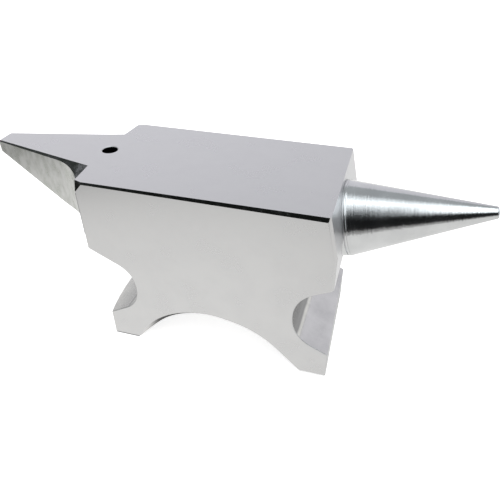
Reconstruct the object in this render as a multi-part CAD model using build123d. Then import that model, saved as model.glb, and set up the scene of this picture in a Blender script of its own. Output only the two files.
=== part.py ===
from build123d import *
import math
import os

# A small bench anvil: a machined steel block with a tapered flat heel on one end, and a separately
# turned round horn let into the other end and held by a threaded stud. Millimetres, +Z up.
# Sizes along the length are measured from the shoulder, where the heel leaves the block.

# Block
WIDTH = 44.0                 # across both side faces
HEIGHT = 59.6                # base to working face
FACE_LENGTH = 75.8           # working face, from the shoulder to the horn end
END_DEPTH = 24.0             # depth of the two end walls below the working face
SEAT_TILT = 12.0             # degrees that the horn end leans out, square to the horn's axis
SEAT_DROP = 12.6             # depth below the working face where that lean stops

# Waists and feet
HEEL_WAIST_DEPTH = 14.8      # how far the waist cuts in from the end wall, under the heel
HEEL_WAIST_TOP = 28.2        # heights of that waist's inner corners above the base
HEEL_WAIST_BOTTOM = 15.5
HEEL_WAIST_RADIUS = 9.5
HEEL_FOOT = (0.3, 13.0)      # the foot's two ends on the base, half way across
HEEL_TOE_HEIGHT = 7.4
HEEL_TOE_CROWN = 3.4         # how far the foot's end curves back at its corners
HORN_WAIST_DEPTH = 11.5      # the same, under the horn
HORN_WAIST_TOP = 29.8
HORN_WAIST_BOTTOM = 15.0
HORN_WAIST_RADIUS = 10.8
HORN_FOOT = (69.8, 78.6)
HORN_TOE_HEIGHT = 9.6
HORN_TOE_SKEW = 1.5          # how much shorter this foot is at the back than at the front
ARCH_FLANK = 45.0            # degrees, the straight flanks of the arch between the feet
ARCH_RADIUS = 29.5
RELIEF_CENTRE = (39.2, -11.7)  # the bevelled relief round the heel side of the arch, on both side faces
RELIEF_RADIUS = 28.5
RELIEF_DEPTH = 3.0

# Heel
HEEL_LENGTH = 39.6
HEEL_TIP_HALF = 2.9          # half widths of the flat top at the tip and at the shoulder
HEEL_ROOT_HALF = 12.0
WALL_TIP_HALF = 3.5          # half widths between the side walls, below the bevelled edges
WALL_SWEEP_HALF = 10.2
SWEEP_START = 12.8           # distance from the shoulder where the side walls sweep outwards
ROOT_STEP = 0.9              # how far the working face runs out over the heel's root, between its corners
ROOT_STEP_DEPTH = 5.0
HEEL_TIP_DEPTH = 3.7
HEEL_KNEE = (11.3, 17.5)     # where the underside levels out: distance from the shoulder, and depth
HEEL_KNEE_RADIUS = 18.0
HEEL_ROOT_DEPTH = 18.5
HEEL_BEVEL = 22.0            # degrees below level, the bevel along the heel's top edges

# Edge breaks
FRONT_BEVEL = (0.75, 1.3)    # drop of the dressed edge of the working face, at the heel and the horn end
FRONT_BEVEL_SLOPE = 70.0     # degrees below level
BACK_BEVEL = (0.3, 0.3)      # the edge behind has a plain break
BACK_BEVEL_SLOPE = 45.0
CORNER_CUT = (3.2, 1.1, 3.6)  # the filed shoulder corners: along and across the block, and down
END_BREAK = 0.8              # upright edges of the horn end
EDGE_BREAK = 0.15            # all the other edges of the side faces

# Pritchel hole, blind
HOLE_RADIUS = 2.5
HOLE_DEPTH = 8.0
HOLE_X = 0.2
HOLE_BREAK = 0.2
DRILL_POINT = 118.0          # degrees, the cone at the bottom of every drilled hole

# Round horn, measured along its axis from the point where the axis leaves the block
HORN_REACH = 41.3
HORN_RADIUS = 11.5
HORN_LAND = 0.8              # straight stretch before the taper
HORN_TIP_RADIUS = 1.75
HORN_TIP_BREAK = 0.3
SEAT_DEPTH = 4.0             # how deep the round seat goes in
SEAT_CLEARANCE = 0.05

# Threaded stud, M8, drawn as plain cylinders
STUD_RADIUS = 4.0
STUD_IN_BLOCK = 13.0
STUD_IN_HORN = 11.0
STUD_CHAMFER = 0.8
THREAD_CLEARANCE = 0.05
TAP_RUNOUT = 1.0             # hole beyond each end of the stud

half_width = WIDTH / 2
end_x = FACE_LENGTH + SEAT_DROP * math.tan(math.radians(SEAT_TILT))
horn_axis = Vector(math.cos(math.radians(SEAT_TILT)), 0, math.sin(math.radians(SEAT_TILT)))
seat_plane = Plane(origin=(end_x, 0, HEIGHT - SEAT_DROP), x_dir=(0, 1, 0), z_dir=horn_axis)


def drilled_hole(radius, depth):
    """A cutter for a blind hole, mouth at the origin, going down, with the drill's cone at its bottom."""
    cone = radius / math.tan(math.radians(DRILL_POINT / 2))
    outline = make_face(Polyline((0, 1), (radius, 1), (radius, -depth), (0, -depth - cone), close=True))
    return revolve(Plane.XZ * outline, Axis.Z)


def side_profile():
    """The block seen from the side, on the XZ plane."""
    arch_middle = (HEEL_FOOT[1] + HORN_FOOT[0]) / 2
    arch_apex = (HORN_FOOT[0] - HEEL_FOOT[1]) / 2 * math.tan(math.radians(ARCH_FLANK))
    corners = [
        ((0, HEIGHT), 0),
        ((FACE_LENGTH, HEIGHT), 0),
        ((end_x, HEIGHT - SEAT_DROP), 0),
        ((end_x, HEIGHT - END_DEPTH), 0),
        ((end_x - HORN_WAIST_DEPTH, HORN_WAIST_TOP), HORN_WAIST_RADIUS),
        ((end_x - HORN_WAIST_DEPTH, HORN_WAIST_BOTTOM), HORN_WAIST_RADIUS),
        ((HORN_FOOT[1], HORN_TOE_HEIGHT), 0),
        ((HORN_FOOT[1], 0), 0),
        ((HORN_FOOT[0], 0), 0),
        ((arch_middle, arch_apex), ARCH_RADIUS),
        ((HEEL_FOOT[1], 0), 0),
        ((HEEL_FOOT[0], 0), 0),
        ((HEEL_FOOT[0], HEEL_TOE_HEIGHT), 0),
        ((HEEL_WAIST_DEPTH, HEEL_WAIST_BOTTOM), HEEL_WAIST_RADIUS),
        ((HEEL_WAIST_DEPTH, HEEL_WAIST_TOP), HEEL_WAIST_RADIUS),
        ((0, HEIGHT - END_DEPTH), 0),
    ]
    points, radii = zip(*corners)
    return make_face(FilletPolyline(*points, radius=radii, close=True))


def is_side_edge(edge, side):
    """True for an edge of the side face at Y = side * half_width, other than its top edge."""
    on_face = all(abs(v.Y - side * half_width) < 1e-3 for v in edge.vertices())
    return on_face and edge.center().Z < HEIGHT - 1e-3


def is_horn_end(edge):
    return all(v.X > FACE_LENGTH - 1e-3 and v.Z > HEIGHT - END_DEPTH - 1e-3 for v in edge.vertices())


def trim(solid, outward, point):
    """Cuts away what lies beyond the plane through point whose normal is outward."""
    return split(solid, bisect_by=Plane(origin=point, z_dir=outward), keep=Keep.BOTTOM)


def make_block():
    block = extrude(Plane.XZ * side_profile(), half_width, both=True)
    for side in (-1, 1):
        end_edges = block.edges().filter_by(lambda e: is_side_edge(e, side) and is_horn_end(e))
        block = chamfer(end_edges, END_BREAK)
        rim = block.edges().filter_by(lambda e: is_side_edge(e, side) and not is_horn_end(e))
        block = chamfer(rim, EDGE_BREAK)
        edge_y = side * half_width
        start, finish = FRONT_BEVEL if side < 0 else BACK_BEVEL
        slope = math.radians(FRONT_BEVEL_SLOPE if side < 0 else BACK_BEVEL_SLOPE)
        bevel_normal = Vector(finish - start, side * FACE_LENGTH * math.tan(slope), FACE_LENGTH)
        block = trim(block, bevel_normal, (0, edge_y, HEIGHT - start))
        along, across, down = CORNER_CUT
        block = trim(block, Vector(-1 / along, side / across, 1 / down), (along, edge_y, HEIGHT))
        block -= arch_relief(side)
    return block - heel_toe_cutter() - horn_toe_cutter()


def arch_relief(side):
    """A cone that bevels the arch's edge on one side face. It dies away towards the horn."""
    x, z = RELIEF_CENTRE
    outer_face = (Align.CENTER, Align.CENTER, Align.MAX)
    cone = Cone(RELIEF_RADIUS - RELIEF_DEPTH, RELIEF_RADIUS, RELIEF_DEPTH, align=outer_face)
    return Plane(origin=(x, side * half_width, z), z_dir=(0, side, 0)) * cone


def heel_toe_cutter():
    """What is cut off the end of the foot under the heel, to leave it curved."""
    crown = HEEL_TOE_CROWN
    radius = (half_width**2 + crown**2) / (2 * crown)
    on_base = (Align.CENTER, Align.CENTER, Align.MIN)
    slab = Box(2 * crown, WIDTH + 1, HEEL_WAIST_BOTTOM, align=on_base)
    keep = Cylinder(radius, HEEL_WAIST_BOTTOM, align=on_base)
    return Pos(HEEL_FOOT[0], 0, 0) * slab - Pos(HEEL_FOOT[0] + radius, 0, 0) * keep


def horn_toe_cutter():
    """What is cut off the end of the foot under the horn, which runs out of square."""
    toe = HORN_FOOT[1]
    outline = make_face(Polyline(
        (toe, -half_width),
        (toe + 1, -half_width),
        (toe + 1, half_width + 1),
        (toe - HORN_TOE_SKEW, half_width + 1),
        (toe - HORN_TOE_SKEW, half_width),
        close=True,
    ))
    return extrude(outline, HORN_WAIST_BOTTOM)


def heel_plan():
    """The heel from above: straight side walls that sweep out to the corners of the shoulder."""
    tip = (-HEEL_LENGTH, WALL_TIP_HALF)
    sweep = (-SWEEP_START, WALL_SWEEP_HALF)
    wall = Line(tip, sweep)
    flare = TangentArc(wall @ 1, (0, half_width), tangent=wall % 1)
    upper = [wall, flare]
    lower = [mirror(edge, Plane.XZ) for edge in upper]
    ends = [Line((0, half_width), (0, -half_width)), Line((tip[0], -tip[1]), tip)]
    return make_face(upper + lower + ends)


def root_step():
    """The thin step of the block that overlaps the heel's root and runs out at both corners."""
    corner = half_width - CORNER_CUT[1]
    outline = make_face(Polyline(
        (0, -corner),
        (0, corner),
        (-ROOT_STEP, HEEL_ROOT_HALF),
        (-ROOT_STEP, -HEEL_ROOT_HALF),
        close=True,
    ))
    return Pos(0, 0, HEIGHT - ROOT_STEP_DEPTH) * extrude(outline, ROOT_STEP_DEPTH)


def make_heel():
    knee_distance, knee_depth = HEEL_KNEE
    corners = [
        ((0, HEIGHT), 0),
        ((-HEEL_LENGTH, HEIGHT), 0),
        ((-HEEL_LENGTH, HEIGHT - HEEL_TIP_DEPTH), 0),
        ((-knee_distance, HEIGHT - knee_depth), HEEL_KNEE_RADIUS),
        ((0, HEIGHT - HEEL_ROOT_DEPTH), 0),
    ]
    points, radii = zip(*corners)
    wedge = make_face(FilletPolyline(*points, radius=radii, close=True))
    heel = extrude(heel_plan(), HEIGHT) & extrude(Plane.XZ * wedge, half_width, both=True)
    slope = math.radians(HEEL_BEVEL)
    taper = math.atan2(HEEL_ROOT_HALF - HEEL_TIP_HALF, HEEL_LENGTH)
    for side in (-1, 1):
        across = Vector(-math.sin(taper), side * math.cos(taper), 0)
        outward = across * math.sin(slope) + Vector(0, 0, math.cos(slope))
        heel = trim(heel, outward, (0, side * HEEL_ROOT_HALF, HEIGHT))
    return heel


def make_body():
    body = make_block() + make_heel() + root_step()
    mouth = Pos(HOLE_X, 0, HEIGHT)
    body -= mouth * drilled_hole(HOLE_RADIUS, HOLE_DEPTH)
    body -= mouth * Pos(0, 0, -HOLE_BREAK / 2) * Cone(HOLE_RADIUS, HOLE_RADIUS + HOLE_BREAK, HOLE_BREAK)
    floor = seat_plane.offset(-SEAT_DEPTH)
    on_floor = (Align.CENTER, Align.CENTER, Align.MIN)
    seat = Cylinder(HORN_RADIUS + SEAT_CLEARANCE, 4 * SEAT_DEPTH, align=on_floor)
    body -= floor * seat
    tapped = drilled_hole(STUD_RADIUS + THREAD_CLEARANCE, STUD_IN_BLOCK + TAP_RUNOUT)
    return body - floor * tapped


def make_horn():
    outline = make_face(Polyline(
        (0, -SEAT_DEPTH),
        (HORN_RADIUS, -SEAT_DEPTH),
        (HORN_RADIUS, HORN_LAND),
        (HORN_TIP_RADIUS, HORN_REACH - HORN_TIP_BREAK),
        (HORN_TIP_RADIUS - HORN_TIP_BREAK, HORN_REACH),
        (0, HORN_REACH),
        close=True,
    ))
    horn = revolve(Plane.XZ * outline, Axis.Z)
    tapped = drilled_hole(STUD_RADIUS + THREAD_CLEARANCE, STUD_IN_HORN + TAP_RUNOUT)
    horn -= Pos(0, 0, -SEAT_DEPTH) * Rot(180, 0, 0) * tapped
    return seat_plane * horn


def make_stud():
    length = STUD_IN_BLOCK + STUD_IN_HORN
    stud = Cylinder(STUD_RADIUS, length, align=(Align.CENTER, Align.CENTER, Align.MIN))
    stud = chamfer(stud.edges().filter_by(GeomType.CIRCLE), STUD_CHAMFER)
    return seat_plane.offset(-SEAT_DEPTH - STUD_IN_BLOCK) * stud


parts = {"anvil_body": make_body(), "round_horn": make_horn(), "horn_stud": make_stud()}

# The origin is on the base, under the middle of the overall length.
boxes = [shape.bounding_box() for shape in parts.values()]
low_x = min(box.min.X for box in boxes)
high_x = max(box.max.X for box in boxes)
shoulder_x = -(low_x + high_x) / 2
to_origin = Pos(shoulder_x, 0, 0)

os.makedirs("parts", exist_ok=True)
for name, shape in parts.items():
    export_step(to_origin * shape, f"parts/{name}.step")
print(f"shoulder at X = {shoulder_x:.3f}, overall length {high_x - low_x:.2f}")
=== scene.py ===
import math

import bmesh
import bpy
from mathutils import Matrix, Vector, noise


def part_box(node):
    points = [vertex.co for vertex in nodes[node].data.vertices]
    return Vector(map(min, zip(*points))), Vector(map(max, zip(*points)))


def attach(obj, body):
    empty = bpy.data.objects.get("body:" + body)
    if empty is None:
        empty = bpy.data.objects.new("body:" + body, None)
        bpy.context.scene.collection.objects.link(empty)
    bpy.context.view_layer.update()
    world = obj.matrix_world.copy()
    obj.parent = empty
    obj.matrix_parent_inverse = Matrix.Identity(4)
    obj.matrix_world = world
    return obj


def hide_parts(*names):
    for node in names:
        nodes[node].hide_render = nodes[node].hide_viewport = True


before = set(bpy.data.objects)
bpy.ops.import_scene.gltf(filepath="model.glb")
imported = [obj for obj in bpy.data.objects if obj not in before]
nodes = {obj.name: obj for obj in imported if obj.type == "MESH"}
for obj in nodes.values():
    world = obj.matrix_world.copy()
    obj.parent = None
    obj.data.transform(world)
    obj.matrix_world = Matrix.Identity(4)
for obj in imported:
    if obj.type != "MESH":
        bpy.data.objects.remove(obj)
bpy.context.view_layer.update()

# Sizes are in millimetres down to the floor and light, and become metres through MM.
MM = 0.001

# The block and its holes
HEIGHT = 59.6
HEEL_LENGTH = 39.6
HOLE_FROM_SHOULDER = 0.2
HOLE_RADIUS = 2.5
HOLE_RIM = 0.3               # the broken edge round the hole is narrower than this
HOLE_BOTTOM = 11.0           # below every part of the pritchel hole
BEVEL_BOTTOM = 5.0           # below every bevel of the top
WAIST_TOP = 35.0             # the milled waists, feet and arch are below this height
HEEL_FOOT_FRONT = (3.7, 13.0)  # the front edges of the two feet, from the shoulder
HORN_FOOT_FRONT = (69.8, 78.6)
SHELF_LENGTH = 6.0           # the rougher part of the heel's bevel, beside the shoulder
EDGE_ROUND = 0.1             # the hand-rubbed rounding left on every edge
EDGE_WIDTH = 0.35            # the broken edges of the waists, feet and arch are narrower than this
WELD = 0.002                 # points of the CAD surface closer than this are one point
FLAT_ANGLE = math.radians(0.4)  # its faces are joined where they meet flatter than this
CORNER_ANGLE = math.radians(18.0)  # and its edges are rubbed round where they are sharper than this

# Which way a face of the block looks, as parts of its unit normal
LEVEL = 0.97                 # more than this along an axis: flat that way
UPRIGHT = 0.15               # less than this upwards: a wall
BEVEL_ASIDE = 0.2            # bevels look at least this much to the side
RIM_UPWARDS = 0.3            # the hole's broken edge looks at least this much upwards
HORN_END_FACING = 0.9        # the horn end looks at least this much along the block

# The round horn, along its axis from where the axis leaves the block
SEAT_TILT = math.radians(12.0)
SEAT_DROP = 12.6
SEAT_DEPTH = 4.0
HORN_REACH = 41.3
HORN_RADIUS = 11.5
HORN_LAND = 0.8              # the taper is drawn from here
HORN_TIP_RADIUS = 1.75
HORN_TIP_BREAK = 0.3
RING_STEP = 0.14             # distance between the horn's rings of points
HORN_TURNS = 200             # points round the horn
ROOT_BREAK = 0.12
SCRIBED = (0.0, 0.95)        # two fine grooves round the horn's root
SCRIBE_WIDTH = 0.26
SCRIBE_DEPTH = 0.09
RIPPLE = 0.006               # height of the turning marks
RIPPLE_COARSE = (1.4, 0.55)  # how fast they change round the horn and along it
RIPPLE_FINE = (2.8, 1.9)
RIPPLE_FINE_SHARE = 0.5
RIPPLE_FINE_SHIFT = 7.0      # keeps the fine marks apart from the coarse ones
RIPPLE_STOP = 1.0            # distance from the tip where the marks stop
HORN_CREASE = math.radians(35.0)  # edges sharper than this are shaded as edges

# The stud, M8
STUD_RADIUS = 4.0
STUD_IN_BLOCK = 13.0
STUD_IN_HORN = 11.0
STUD_CHAMFER = 0.8
THREAD_PITCH = 1.25
THREAD_DEPTH = 0.72
THREAD_CLEARANCE = 0.05
TAP_RUNOUT = 1.0
DRILL_POINT = math.radians(118.0)
THREAD_FLANK = 1.6           # slope of the tooth's sides, in tooth heights to half a pitch
THREAD_ROOT = 0.3            # how much of the slope the flat root takes off
THREAD_TURNS = 48            # points round the stud
THREAD_STEPS = 10            # rings of points to a pitch
STUD_CREASE = math.radians(40.0)

# Where the frame puts them
block_low, block_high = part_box("anvil_body")
horn_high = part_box("round_horn")[1]
horn_axis = Vector((math.cos(SEAT_TILT), 0, math.sin(SEAT_TILT)))
tip_corner = (HORN_TIP_RADIUS - HORN_TIP_BREAK) * math.sin(SEAT_TILT)
seat_x = horn_high.x / MM - HORN_REACH * math.cos(SEAT_TILT) - tip_corner
seat = Vector((seat_x, 0, HEIGHT - SEAT_DROP)) * MM
shoulder_x = block_low.x / MM + HEEL_LENGTH
hole_x = shoulder_x + HOLE_FROM_SHOULDER

# Noise in the materials: features to a millimetre, detail, and how it is scaled along each axis
CLOUDS = {"scale": 0.12, "detail": 5.0}
BLOTCHES = {"scale": 0.45, "detail": 6.0, "stretch": (1, 1, 0.5)}
SAW_MARKS = {"scale": 1.2, "detail": 3.0, "stretch": (1, 0.15, 1)}
GRIND_LINES = {"scale": 6.0, "detail": 3.0, "stretch": (0.035, 1, 1)}
STRAY_LINES = {"scale": 3.0, "detail": 2.0, "stretch": (1, 1, 0.06)}
FILE_LINES = {"scale": 5.0, "detail": 2.0, "stretch": (0.02, 1, 1)}
CUTTER_LINES = {"scale": 4.0, "detail": 2.0, "stretch": (1, 0.03, 1)}
CUT_MARKS = {"scale": 4.0, "detail": 2.0}
RING_STEPS = {"scale": 5.0, "detail": 3.0}
RING_STEPS_FADE = {"scale": 0.5, "detail": 2.0}
FACING_RINGS = {"scale": 3.0, "detail": 3.0}
RING_TURNS = {"scale": 2.6, "detail": 4.0, "roughness": 0.7}
RING_TURNS_FADE = {"scale": 0.9, "detail": 3.0}
SPECKLES = {"scale": 3.0, "detail": 2.0}
TABLE_SPECKLES = {"scale": 0.02, "detail": 2.0}

NOISE_MIDDLE = 0.5
PATCH_EDGE = (0.3, 0.7)      # noise goes from one side of a patch's edge to the other between these values
STRAY_SHARE = 0.35           # height of the stray lines against the grinding lines
BARE_SHARE = 0.75            # how pale the bevels' patches get
SHELF_SHARE = 0.6            # and how much paler the shelf is
MILLED_UNSHADED = (0.45, 0.3)   # how pale the waists are away from their painted corner shade, at least and by their clouds
HORN_CORNER_SHADE = (0.80, 0.98)    # how far along the block each waist looks where its painted shade starts and is full
HEEL_CORNER_SHADE = (0.495, 0.56)
RING_TURN = 0.40             # how far the lathe rings are turned against each other
RING_TURN_FADE = (0.2, 1.4)  # weakest and strongest round the horn
RING_STEP_FADE = (0.5, 1.0)
SPECKLE_TURN = 0.16          # how far spots on the rings are turned


# ---------------------------------------------------------------- materials

class Nodes:
    """A short way to write a node tree."""

    def __init__(self, tree):
        self.tree = tree
        tree.nodes.clear()

    def add(self, kind, settings=None, **inputs):
        """Adds a node. Its inputs are values or sockets, named with _ for a space, or in0, in1 and so on."""
        node = self.tree.nodes.new(kind)
        for name, value in (settings or {}).items():
            setattr(node, name, value)
        for name, value in inputs.items():
            socket = self.find(node.inputs, name)
            if isinstance(value, bpy.types.NodeSocket):
                self.tree.links.new(value, socket)
            else:
                socket.default_value = value
        return node

    def find(self, sockets, name):
        """The socket in use with that name, or with that number."""
        if name.startswith("in"):
            return sockets[int(name[2:])]
        wanted = name.replace("_", " ").lower()
        return next(s for s in sockets if s.name.lower() == wanted and s.enabled)

    def math(self, operation, *values):
        """Adds, multiplies and so on. Each value is a number or a socket."""
        inputs = {f"in{i}": v for i, v in enumerate(values)}
        return self.add("ShaderNodeMath", {"operation": operation}, **inputs).outputs[0]

    def between(self, kind, value, low, high, to_low, to_high):
        """Takes value from the range low to high to the range to_low to to_high, and never past its ends."""
        node = self.add(
            "ShaderNodeMapRange", {"interpolation_type": kind},
            Value=value, From_Min=low, From_Max=high, To_Min=to_low, To_Max=to_high)
        return node.outputs[0]

    def smooth(self, value, low, high, to_low=0.0, to_high=1.0):
        """Goes smoothly from to_low to to_high as value goes from low to high."""
        return self.between("SMOOTHSTEP", value, low, high, to_low, to_high)

    def ramp(self, value, *points):
        """Goes in straight lines through the (value, result) points."""
        result = points[0][1]
        for (start, low), (end, high) in zip(points, points[1:]):
            rise = self.between("LINEAR", value, start, end, 0.0, high - low)
            result = self.math("ADD", rise, result)
        return result

    def noise(self, place, scale, detail, stretch=(1, 1, 1)):
        """Noise with about scale features to a millimetre, drawn out along an axis where stretch is small."""
        mapping = self.add("ShaderNodeMapping", Vector=place)
        mapping.inputs["Scale"].default_value = Vector(stretch) * scale / MM
        return self.add("ShaderNodeTexNoise", Vector=mapping.outputs[0], Scale=1.0, Detail=detail).outputs[0]

    def rings(self, millimetres, scale, detail, roughness=0.5):
        """Noise that changes with one distance only."""
        vector = self.add("ShaderNodeCombineXYZ", X=millimetres).outputs[0]
        settings = {"Scale": scale, "Detail": detail, "Roughness": roughness}
        return self.add("ShaderNodeTexNoise", Vector=vector, **settings).outputs[0]

    def mix(self, factor, dark, light):
        """Goes from one colour to the other as factor goes from 0 to 1."""
        node = self.add("ShaderNodeMix", {"data_type": "RGBA"})
        colours = [s for s in node.inputs if s.type == "RGBA"]
        self.tree.links.new(factor, node.inputs[0])
        colours[0].default_value = (*dark, 1)
        colours[1].default_value = (*light, 1)
        return next(s for s in node.outputs if s.type == "RGBA")


def new_material(name):
    """A material, and its empty node tree."""
    material = bpy.data.materials.new(name)
    material.use_nodes = True
    return material, Nodes(material.node_tree)


def metal(name, dark, light, roughness, mottle, height, bump, turn=None):
    """Bare steel. Its colour and roughness go from one value to the other with mottle. height, times bump
    in millimetres, is its relief, and turn tilts the surface before that. mottle, height and turn are
    functions of (tree, place)."""
    material, tree = new_material(name)
    place = tree.add("ShaderNodeTexCoord").outputs["Object"]
    patches = tree.smooth(mottle(tree, place), *PATCH_EDGE)
    colour = tree.mix(patches, dark, light)
    rough = tree.ramp(patches, (0.0, roughness[0]), (1.0, roughness[1]))
    surface = tree.add("ShaderNodeBump", Height=height(tree, place), Strength=1.0, Distance=bump * MM)
    if turn:
        tree.tree.links.new(turn(tree, place), surface.inputs["Normal"])
    shader = tree.add(
        "ShaderNodeBsdfPrincipled",
        Base_Color=colour, Roughness=rough, Metallic=1.0, Normal=surface.outputs[0])
    tree.add("ShaderNodeOutputMaterial", Surface=shader.outputs[0])
    return material


def cloudy(tree, place):
    """Soft patches a few millimetres across, with finer ones inside them."""
    return tree.noise(place, **CLOUDS)


def blotchy(tree, place):
    """Stronger, smaller patches, drawn out upwards, where the heel was dressed by hand."""
    return tree.noise(place, **BLOTCHES)


def shelf_patches(tree, place):
    """The bevels are blotchy and dark. The shelf at the heel's root is paler, with marks left by the saw."""
    x = tree.add("ShaderNodeSeparateXYZ", Vector=place).outputs["X"]
    start = tree.smooth(x, (shoulder_x - SHELF_LENGTH) * MM, (shoulder_x - SHELF_LENGTH / 2) * MM)
    end = tree.smooth(x, (shoulder_x - EDGE_ROUND) * MM, (shoulder_x + EDGE_ROUND) * MM)
    shelf = tree.math("SUBTRACT", start, end)
    marks = tree.math("MULTIPLY", tree.noise(place, **SAW_MARKS), SHELF_SHARE)
    bare = tree.math("MULTIPLY", blotchy(tree, place), BARE_SHARE)
    return tree.math("ADD", bare, tree.math("MULTIPLY", shelf, marks))


def milled_clouds_and_shade(tree, place):
    """The waists are cloudy like the sides, with painted shade where they look along the block, in their
    upright corners.
    """
    normal = tree.add("ShaderNodeNewGeometry").outputs["Normal"]
    facing = tree.add("ShaderNodeSeparateXYZ", Vector=normal).outputs["X"]
    # painted shade: a waist face gets darker as it turns to look along the block
    shade_under_horn = tree.smooth(facing, *HORN_CORNER_SHADE)
    shade_under_heel = tree.smooth(tree.math("MULTIPLY", facing, -1.0), *HEEL_CORNER_SHADE)
    corner_shade = tree.math("MAXIMUM", shade_under_horn, shade_under_heel)
    least, by_clouds = MILLED_UNSHADED
    unshaded = tree.math("ADD", tree.math("MULTIPLY", cloudy(tree, place), by_clouds), least)
    return tree.math("SUBTRACT", unshaded, corner_shade)


def ground_grain(tree, place):
    """Fine grinding lines along the block, crossed by a few stray ones."""
    strays = tree.math("MULTIPLY", tree.noise(place, **STRAY_LINES), STRAY_SHARE)
    return tree.math("ADD", tree.noise(place, **GRIND_LINES), strays)


def draw_filed(tree, place):
    """Draw-filed bevels: lines along the block only."""
    return tree.noise(place, **FILE_LINES)


def cross_milled(tree, place):
    """Cutter marks straight across the block, in the waists, on the feet and in the arch."""
    return tree.noise(place, **CUTTER_LINES)


def cut_marks(tree, place):
    """Fine marks with no direction."""
    return tree.noise(place, **CUT_MARKS)


def along_horn(tree, place):
    """How far a place is along the horn's axis, in millimetres."""
    along = tree.add("ShaderNodeVectorMath", {"operation": "DOT_PRODUCT"}, in0=place, in1=horn_axis)
    return tree.math("DIVIDE", along.outputs["Value"], MM)


def turned_marks(tree, place):
    """Lathe rings: fine steps along the horn's axis that fade in and out round it."""
    steps = tree.rings(along_horn(tree, place), **RING_STEPS)
    drift = tree.smooth(tree.noise(place, **RING_STEPS_FADE), *PATCH_EDGE, *RING_STEP_FADE)
    return tree.math("MULTIPLY", steps, drift)


def turned_face(tree, place):
    """Rings round the seat, where the horn end was faced."""
    from_seat = tree.add("ShaderNodeVectorMath", {"operation": "DISTANCE"}, in0=place, in1=seat)
    return tree.rings(tree.math("DIVIDE", from_seat.outputs["Value"], MM), **FACING_RINGS)


def turned_rings(tree, place):
    """Every lathe ring is turned a little up or down round the horn, so that a mirrored edge is ragged."""
    rings = tree.math("SUBTRACT", tree.rings(along_horn(tree, place), **RING_TURNS), NOISE_MIDDLE)
    drift = tree.smooth(tree.noise(place, **RING_TURNS_FADE), *PATCH_EDGE, *RING_TURN_FADE)
    amount = tree.math("MULTIPLY", tree.math("MULTIPLY", rings, RING_TURN), drift)
    spots = tree.math("SUBTRACT", tree.noise(place, **SPECKLES), NOISE_MIDDLE)
    turn = tree.math("ADD", amount, tree.math("MULTIPLY", spots, SPECKLE_TURN))
    normal = tree.add("ShaderNodeNewGeometry").outputs["Normal"]
    around = tree.add("ShaderNodeVectorMath", {"operation": "CROSS_PRODUCT"}, in0=horn_axis, in1=normal)
    shift = tree.add("ShaderNodeVectorMath", {"operation": "SCALE"}, in0=around.outputs[0], Scale=turn)
    turned = tree.add("ShaderNodeVectorMath", {"operation": "ADD"}, in0=normal, in1=shift.outputs[0])
    return tree.add("ShaderNodeVectorMath", {"operation": "NORMALIZE"}, in0=turned.outputs[0]).outputs[0]


ground_steel = metal(
    "ground_steel", dark=(0.585, 0.582, 0.585), light=(0.615, 0.612, 0.613), roughness=(0.27, 0.31),
    mottle=cloudy, height=ground_grain, bump=0.0015)
heel_steel = metal(
    "heel_steel", dark=(0.47, 0.48, 0.455), light=(0.66, 0.66, 0.65), roughness=(0.26, 0.36),
    mottle=blotchy, height=ground_grain, bump=0.003)
bevel_steel = metal(
    "bevel_steel", dark=(0.39, 0.42, 0.38), light=(0.62, 0.63, 0.64), roughness=(0.08, 0.30),
    mottle=shelf_patches, height=draw_filed, bump=0.0012)
# its dark colour is the painted shade in the waists' upright corners; the rest is cloudy steel
milled_steel = metal(
    "milled_steel", dark=(0.25, 0.25, 0.255), light=(0.655, 0.65, 0.64), roughness=(0.24, 0.14),
    mottle=milled_clouds_and_shade, height=cross_milled, bump=0.0012)
faced_steel = metal(
    "faced_steel", dark=(0.68, 0.68, 0.69), light=(0.72, 0.715, 0.725), roughness=(0.38, 0.44),
    mottle=cloudy, height=turned_face, bump=0.0015)
edge_steel = metal(
    "edge_steel", dark=(0.54, 0.54, 0.54), light=(0.64, 0.64, 0.64), roughness=(0.45, 0.60),
    mottle=cloudy, height=cut_marks, bump=0.002)
turned_steel = metal(
    "turned_steel", dark=(0.56, 0.565, 0.57), light=(0.625, 0.63, 0.635), roughness=(0.10, 0.16),
    mottle=cloudy, height=turned_marks, bump=0.004, turn=turned_rings)
# near black: painted shade down inside the pritchel hole
bore_steel = metal(
    "bore_steel", dark=(0.006, 0.006, 0.006), light=(0.015, 0.015, 0.015), roughness=(0.5, 0.65),
    mottle=cloudy, height=cut_marks, bump=0.01)
stud_steel = metal(
    "stud_steel", dark=(0.28, 0.27, 0.26), light=(0.38, 0.37, 0.36), roughness=(0.32, 0.45),
    mottle=cloudy, height=cut_marks, bump=0.006)


# ------------------------------------------------------------------- pieces

def piece_from(name, bm, node, materials):
    """Turns a finished bmesh into a piece that stands for a CAD node and rides with the anvil."""
    mesh = bpy.data.meshes.new(name)
    bm.to_mesh(mesh)
    bm.free()
    for material in materials:
        mesh.materials.append(material)
    for polygon in mesh.polygons:
        polygon.use_smooth = True
    piece = bpy.data.objects.new(name, mesh)
    bpy.context.scene.collection.objects.link(piece)
    weigh = piece.modifiers.new("weigh", "WEIGHTED_NORMAL")
    weigh.keep_sharp = True
    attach(piece, "root")
    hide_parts(node)


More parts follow.
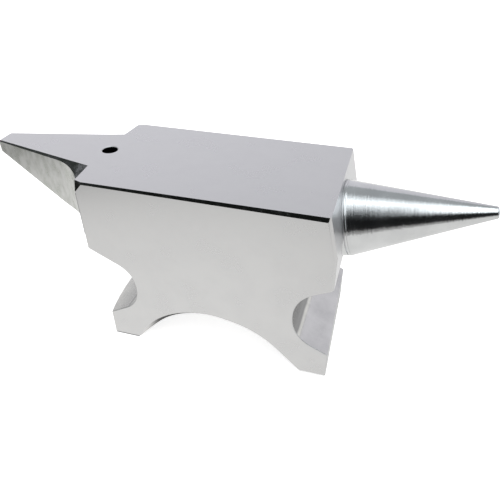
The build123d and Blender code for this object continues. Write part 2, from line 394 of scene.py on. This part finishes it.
def make_block():
    """The block and heel: the CAD surface with its flat faces whole, and every edge rubbed round."""
    finishes = [ground_steel, bevel_steel, bore_steel, heel_steel, milled_steel, edge_steel, faced_steel]
    bm = bmesh.new()
    bm.from_mesh(nodes["anvil_body"].data)
    bmesh.ops.remove_doubles(bm, verts=bm.verts, dist=WELD * MM)
    bmesh.ops.dissolve_limit(bm, angle_limit=FLAT_ANGLE, verts=bm.verts, edges=bm.edges)
    edges = [e for e in bm.edges if e.is_manifold and e.calc_face_angle(0) > CORNER_ANGLE]
    bmesh.ops.bevel(bm, geom=edges, offset=EDGE_ROUND * MM, segments=2, profile=0.5, affect="EDGES",
                    clamp_overlap=True)
    for face in bm.faces:
        face.material_index = finishes.index(finish_of(face))
    piece_from("block", bm, "anvil_body", finishes)


def finish_of(face):
    """The material of a face of the block, from where it is and which way it looks."""
    place = face.calc_center_median() / MM
    normal = face.normal
    in_hole = math.hypot(place.x - hole_x, place.y) < HOLE_RADIUS + HOLE_RIM
    if in_hole and place.z > HEIGHT - HOLE_BOTTOM and normal.z < LEVEL:
        on_rim = place.z > HEIGHT - HOLE_RIM and normal.z > RIM_UPWARDS
        # the hole's walls are painted near black as its shade; its upward-looking rim is not
        return edge_steel if on_rim else bore_steel
    sloping = UPRIGHT < normal.z < LEVEL and abs(normal.y) > BEVEL_ASIDE
    if place.z > HEIGHT - BEVEL_BOTTOM and sloping:
        return bevel_steel
    if place.x < shoulder_x and place.z > HEIGHT / 2:
        return heel_steel if normal.z < UPRIGHT else ground_steel
    if place.z > WAIST_TOP and normal.x > HORN_END_FACING:
        return faced_steel
    if place.z > WAIST_TOP or abs(normal.y) > LEVEL:
        return ground_steel
    across = [vert.co.y for vert in face.verts]
    side = block_high.y - EDGE_WIDTH * MM
    return edge_steel if min(across) > side or max(across) < -side else milled_steel


def horn_frame():
    """Takes (x, y, along the axis) in millimetres to the horn's place."""
    across = Vector((0, 1, 0))
    up = horn_axis.cross(across)
    turn = Matrix((across, up, horn_axis)).transposed().to_4x4()
    return Matrix.Translation(seat) @ turn @ Matrix.Scale(MM, 4)


def lathe(outline, turns, crease, ripple):
    """Turns an outline of (radius, along) points round the horn's axis, with turns points round it. A point
    with no radius closes the surface. ripple, a function of (along, angle), is added to every other radius.
    Edges sharper than crease are shaded as edges."""
    bm = bmesh.new()
    place = horn_frame()
    rings = []
    for radius, along in outline:
        if radius == 0:
            rings.append([bm.verts.new(place @ Vector((0, 0, along)))])
            continue
        ring = []
        for i in range(turns):
            angle = 2 * math.pi * i / turns
            r = radius + ripple(along, angle)
            ring.append(bm.verts.new(place @ Vector((r * math.cos(angle), r * math.sin(angle), along))))
        rings.append(ring)
    for first, second in zip(rings, rings[1:]):
        for i in range(turns):
            j = (i + 1) % turns
            corners = [ring[k % len(ring)] for ring, k in ((first, i), (first, j), (second, j), (second, i))]
            bm.faces.new(list(dict.fromkeys(corners)))  # a ring of one point counts once
    bmesh.ops.recalc_face_normals(bm, faces=bm.faces)
    for edge in bm.edges:
        if edge.is_manifold and edge.calc_face_angle(0) > crease:
            edge.smooth = False
    return bm


def turning_ripple(along, angle):
    """Marks left by the lathe tool, never quite the same all the way round."""
    if along < SCRIBED[-1] + SCRIBE_WIDTH or along > HORN_REACH - RIPPLE_STOP:
        return 0.0
    x, y = math.cos(angle), math.sin(angle)
    turn, step = RIPPLE_COARSE
    coarse = noise.noise(Vector((x * turn, y * turn, along * step)))
    turn, step = RIPPLE_FINE
    fine = noise.noise(Vector((x * turn, y * turn + RIPPLE_FINE_SHIFT, along * step)))
    return RIPPLE * (coarse + RIPPLE_FINE_SHARE * fine)


def make_horn():
    """The horn with its grooved root, its taper and, inside, the drilled hole for the stud."""
    bore = STUD_RADIUS + THREAD_CLEARANCE
    hole_end = STUD_IN_HORN + TAP_RUNOUT - SEAT_DEPTH
    outline = [
        (0, hole_end + bore / math.tan(DRILL_POINT / 2)),
        (bore, hole_end),
        (bore, -SEAT_DEPTH),
        (HORN_RADIUS - ROOT_BREAK, -SEAT_DEPTH),
        (HORN_RADIUS, -SEAT_DEPTH + ROOT_BREAK),
    ]
    for groove in SCRIBED:
        outline += [
            (HORN_RADIUS, groove - SCRIBE_WIDTH / 2),
            (HORN_RADIUS - SCRIBE_DEPTH, groove),
            (HORN_RADIUS, groove + SCRIBE_WIDTH / 2),
        ]
    cone_start = SCRIBED[-1] + SCRIBE_WIDTH
    cone_end = HORN_REACH - HORN_TIP_BREAK
    steps = round((cone_end - cone_start) / RING_STEP)
    for i in range(steps + 1):
        along = cone_start + (cone_end - cone_start) * i / steps
        part = (along - HORN_LAND) / (cone_end - HORN_LAND)
        outline.append((HORN_RADIUS + (HORN_TIP_RADIUS - HORN_RADIUS) * part, along))
    outline += [(HORN_TIP_RADIUS - HORN_TIP_BREAK, HORN_REACH), (0, HORN_REACH)]
    bm = lathe(outline, HORN_TURNS, HORN_CREASE, turning_ripple)
    piece_from("horn", bm, "round_horn", [turned_steel])


def make_stud():
    """The stud with its real thread: one helix, fading out at both chamfered ends."""
    length = STUD_IN_BLOCK + STUD_IN_HORN
    start = -SEAT_DEPTH - STUD_IN_BLOCK
    steps = round(length / THREAD_PITCH * THREAD_STEPS)

    def thread(along, angle):
        """The change of radius from the thread's groove and the chamfers: 0 or less."""
        run = along - start
        phase = (run / THREAD_PITCH - angle / (2 * math.pi)) % 1.0
        tooth = min(1.0, max(0.0, THREAD_FLANK * abs(2 * phase - 1) - THREAD_ROOT))
        chamfer = STUD_CHAMFER - min(run, length - run)
        return -max(THREAD_DEPTH * (1 - tooth), chamfer)

    outline = [(0, start)]
    outline += [(STUD_RADIUS, start + length * i / steps) for i in range(steps + 1)]
    outline += [(0, start + length)]
    bm = lathe(outline, THREAD_TURNS, STUD_CREASE, thread)
    piece_from("stud", bm, "horn_stud", [stud_steel])


make_block()
make_horn()
make_stud()


# ----------------------------------------------------------- floor and light

# Metres and degrees here. Strengths are of the light that the steel mirrors, and 1 is white. Pairs in a row
# are (place or direction, strength), with straight lines between them.
SURROUND = 1.0               # light on everything that isn't a mirror
ROOM_LIGHT = 0.015           # the mirrored room where nothing else lights it

# The table
FLOOR_RADIUS = 6.0
FLOOR_DARK, FLOOR_PALE = (0.86, 0.86, 0.86), (0.88, 0.88, 0.88)
FLOOR_GLOW = 0.7
CONTACT = 0.0005             # width of the thin shadow in front of the feet
CONTACT_SHADE = (0.36, 0.36, 0.36, 1.0)
CONTACT_STRENGTH = (1.0, 0.4)  # under the heel and under the horn
TABLE_TINT = (1.0, 1.0, 0.985)
TABLE_BACK = 0.12            # the mirrored table is lit evenly behind this, and ever less in front of it
TABLE_LEFT, TABLE_RIGHT = 1.15, 0.4  # how fast the light falls off towards the heel and the horn
TABLE_LIGHT = (
    (0.150, 1.08), (0.215, 1.03), (0.244, 1.06), (0.256, 0.80), (0.275, 0.50), (0.38, 0.40), (0.50, 0.06),
    (0.60, ROOM_LIGHT))
TABLE_HORN = (-0.01, 0.060, 1.0, 0.92)  # between the first two, along X, it goes from 1.0 to 0.92 of that
UNDER_BLOCK = (0.0388, 0.0225)  # half sizes of the anvil's footprint, where the table is in its shadow
UNDER_FADE = (0.002, 0.005)  # how far inside its ends and sides that shadow starts to fade
UNDER_LIGHT = 0.10

# The wall behind the anvil and the ceiling above it
WALL_TINT = (0.975, 0.973, 1.03)
WALL_EDGE = (0.02, 0.20)     # how far back directions point where the wall starts and is full
WALL_TURN = 0.5              # the wall's left end bends this much towards the back
WALL_ACROSS = ((-0.45, 1.00), (-0.1, 0.91), (0.1, 0.86), (0.3, 0.82), (0.5, 0.87))
WALL_TOP = (0.60, 0.67)
CEILING_ACROSS = ((-0.6, 0.02), (-0.2, 0.52), (0.0, 0.54))
SIDE_ROOM = ((-0.92, 0.40), (-0.78, 0.09), (-0.45, 0.0), (0.52, 0.0), (0.68, 0.40))  # at the room's two ends

# The soft light overhead
OVERHEAD_TINT = (0.93, 0.99, 1.02)
OVERHEAD = (160.0, 79.0)     # its azimuth and elevation
OVERHEAD_GLOW = (            # by the cosine of the angle to its middle
    (0.50, 0.0), (0.76, 0.075), (0.79, 0.27), (0.836, 0.33), (0.866, 0.43), (0.906, 0.69), (0.94, 1.0),
    (0.966, 1.3), (0.985, 1.65), (1.0, 2.2))
OVERHEAD_RIGHT = ((0.20, 0.0), (0.27, 0.11), (0.38, 0.22))  # it reaches further on the horn's side
OVERHEAD_RIGHT_FROM = (0.35, 0.60)  # but only this high up
SOFTBOX_TARGET = (0.04, 0.0, 0.04)  # the same light as the floor gets it
SOFTBOX_DISTANCE = 0.9
SOFTBOX_SIDE = 0.5
SOFTBOX_STRENGTH = 0.8

# The camera, at the photo's angle
CAMERA_PLACE = (0.0492, -0.1368, 0.1333)
CAMERA_AZIMUTH, CAMERA_ELEVATION, CAMERA_ROLL = 17.02, 36.18, -0.81
CAMERA_SENSOR, CAMERA_LENS = 36.0, 37.85  # millimetres
CAMERA_CLIP = (0.005, 50.0)


def make_floor():
    """A pale table, which the steel mirrors as a lit patch under the anvil that fades out further off."""
    material, tree = new_material("floor")
    place = tree.add("ShaderNodeTexCoord").outputs["Object"]
    parts = tree.add("ShaderNodeSeparateXYZ", Vector=place).outputs
    seen = table_seen(tree, place, parts)
    mirrored = tree.add("ShaderNodeEmission", Color=(*TABLE_TINT, 1), Strength=table_light(tree, parts))
    glossy = tree.add("ShaderNodeLightPath").outputs["Is Glossy Ray"]
    both = tree.add("ShaderNodeMixShader", in0=glossy, in1=seen, in2=mirrored.outputs[0])
    tree.add("ShaderNodeOutputMaterial", Surface=both.outputs[0])
    bm = bmesh.new()
    bmesh.ops.create_circle(bm, cap_ends=True, radius=FLOOR_RADIUS, segments=96)
    mesh = bpy.data.meshes.new("floor")
    bm.to_mesh(mesh)
    bm.free()
    mesh.materials.append(material)
    floor = bpy.data.objects.new("floor", mesh)
    bpy.context.scene.collection.objects.link(floor)


def table_seen(tree, place, parts):
    """The table as the eye sees it: white, with a thin shadow in front of the feet."""
    speckle = tree.mix(tree.noise(place, **TABLE_SPECKLES), FLOOR_DARK, FLOOR_PALE)
    matt = tree.add("ShaderNodeBsdfDiffuse", Color=speckle)
    glow = tree.add("ShaderNodeEmission", Color=(1, 1, 1, 1), Strength=FLOOR_GLOW)
    seen = tree.add("ShaderNodeAddShader", in0=matt.outputs[0], in1=glow.outputs[0])
    shade = tree.add("ShaderNodeBsdfDiffuse", Color=CONTACT_SHADE)
    in_front = tree.math("SUBTRACT", block_low.y, parts["Y"])
    starts = tree.smooth(in_front, -CONTACT / 2, 0.0)
    ends = tree.smooth(in_front, CONTACT / 2, CONTACT)
    thin = tree.math("SUBTRACT", starts, ends)
    for (start, end), strength in zip((HEEL_FOOT_FRONT, HORN_FOOT_FRONT), CONTACT_STRENGTH):
        middle, half = (shoulder_x + (start + end) / 2) * MM, (end - start) / 2 * MM
        from_middle = tree.math("ABSOLUTE", tree.math("SUBTRACT", parts["X"], middle))
        beside = tree.smooth(from_middle, half - CONTACT / 2, half, strength, 0.0)
        touching = tree.math("MULTIPLY", thin, beside)
        seen = tree.add("ShaderNodeMixShader", in0=touching, in1=seen.outputs[0], in2=shade.outputs[0])
    return seen.outputs[0]


def table_light(tree, parts):
    """How bright the table is where the steel mirrors it."""
    left = tree.math("MULTIPLY", parts["X"], -TABLE_LEFT)
    sideways = tree.math("MAXIMUM", left, tree.math("MULTIPLY", parts["X"], TABLE_RIGHT))
    forwards = tree.math("MINIMUM", tree.math("SUBTRACT", parts["Y"], TABLE_BACK), 0.0)
    offset = tree.add("ShaderNodeCombineXYZ", X=sideways, Y=forwards)
    distance = tree.add("ShaderNodeVectorMath", {"operation": "LENGTH"}, in0=offset.outputs[0])
    open_light = tree.ramp(distance.outputs["Value"], *TABLE_LIGHT)
    half_length, half_width = UNDER_BLOCK
    fade_along, fade_across = UNDER_FADE
    beside = tree.smooth(tree.math("ABSOLUTE", parts["X"]), half_length - fade_along, half_length)
    beyond = tree.smooth(tree.math("ABSOLUTE", parts["Y"]), half_width - fade_across, half_width)
    clear = tree.smooth(tree.math("MAXIMUM", beside, beyond), 0.0, 1.0, UNDER_LIGHT, 1.0)
    dimmer = tree.smooth(parts["X"], *TABLE_HORN)
    return tree.math("MULTIPLY", tree.math("MULTIPLY", open_light, clear), dimmer)


def toward(azimuth, elevation):
    """The direction at that azimuth, from +Y towards +X, and that height above level. Degrees."""
    flat = math.cos(math.radians(elevation))
    turn = math.radians(azimuth)
    return Vector((math.sin(turn) * flat, math.cos(turn) * flat, math.sin(math.radians(elevation))))


def make_world():
    """White all round for the eye and for the floor. The steel mirrors a studio: a pale wall behind the
    anvil, brighter on the heel's side, a big soft light overhead, and a dark room in front."""
    world = bpy.data.worlds.new("studio")
    bpy.context.scene.world = world
    world.use_nodes = True
    world.cycles.sampling_method = "NONE"
    tree = Nodes(world.node_tree)
    direction = tree.add("ShaderNodeTexCoord").outputs["Generated"]
    parts = tree.add("ShaderNodeSeparateXYZ", Vector=direction).outputs

    bend = tree.math("MULTIPLY", tree.math("MINIMUM", parts["X"], 0.0), WALL_TURN)
    behind = tree.smooth(tree.math("ADD", parts["Y"], bend), *WALL_EDGE)
    across = tree.ramp(parts["X"], *WALL_ACROSS)
    ceiling = tree.ramp(parts["X"], *CEILING_ACROSS)
    above = tree.smooth(parts["Z"], *WALL_TOP)
    room = tree.math("ADD", across, tree.math("MULTIPLY", above, tree.math("SUBTRACT", ceiling, across)))
    wall = tree.math("MULTIPLY", behind, room)

    middle = toward(*OVERHEAD)
    facing = tree.add("ShaderNodeVectorMath", {"operation": "DOT_PRODUCT"}, in0=direction, in1=middle)
    high = tree.smooth(parts["Z"], *OVERHEAD_RIGHT_FROM)
    reach = tree.math("MULTIPLY", tree.ramp(parts["X"], *OVERHEAD_RIGHT), high)
    glow = tree.ramp(tree.math("ADD", facing.outputs["Value"], reach), *OVERHEAD_GLOW)

    stray = tree.math("ADD", tree.ramp(parts["X"], *SIDE_ROOM), ROOM_LIGHT)
    studio = tree.math("MAXIMUM", tree.math("MAXIMUM", wall, glow), stray)
    in_front = tree.smooth(parts["Y"], -WALL_EDGE[1], WALL_EDGE[0], 1.0, 0.0)
    tint = tree.mix(tree.math("MAXIMUM", above, in_front), WALL_TINT, OVERHEAD_TINT)
    mirrored = tree.add("ShaderNodeBackground", Color=tint, Strength=studio)
    seen = tree.add("ShaderNodeBackground", Color=(1, 1, 1, 1), Strength=SURROUND)
    glossy = tree.add("ShaderNodeLightPath").outputs["Is Glossy Ray"]
    both = tree.add("ShaderNodeMixShader", in0=glossy, in1=seen.outputs[0], in2=mirrored.outputs[0])
    tree.add("ShaderNodeOutputWorld", Surface=both.outputs[0])


def make_softbox():
    """The overhead light as the floor gets it: it gives the anvil its soft shadow."""
    light = bpy.data.lights.new("softbox", "AREA")
    light.shape = "SQUARE"
    light.size = SOFTBOX_SIDE
    light.energy = SOFTBOX_STRENGTH * math.pi * SOFTBOX_SIDE * SOFTBOX_SIDE
    box = bpy.data.objects.new("softbox", light)
    box.location = Vector(SOFTBOX_TARGET) + toward(*OVERHEAD) * SOFTBOX_DISTANCE
    box.rotation_mode = "QUATERNION"
    box.rotation_quaternion = toward(*OVERHEAD).to_track_quat("Z", "Y")
    box.visible_glossy = False
    bpy.context.scene.collection.objects.link(box)


def make_camera():
    """The camera where the photo's was, from a fit to the block's corners and the horn's outlines."""
    data = bpy.data.cameras.new("camera")
    data.sensor_width = CAMERA_SENSOR
    data.lens = CAMERA_LENS
    data.clip_start, data.clip_end = CAMERA_CLIP
    camera = bpy.data.objects.new("camera", data)
    turn = Matrix.Rotation(math.radians(CAMERA_AZIMUTH), 4, "Z")
    tilt = Matrix.Rotation(math.radians(90.0 - CAMERA_ELEVATION), 4, "X")
    roll = Matrix.Rotation(math.radians(CAMERA_ROLL), 4, "Z")
    camera.matrix_world = Matrix.Translation(CAMERA_PLACE) @ turn @ tilt @ roll
    bpy.context.scene.collection.objects.link(camera)
    bpy.context.scene.camera = camera


make_floor()
make_world()
make_softbox()
make_camera()
bpy.context.scene.view_settings.view_transform = "Standard"
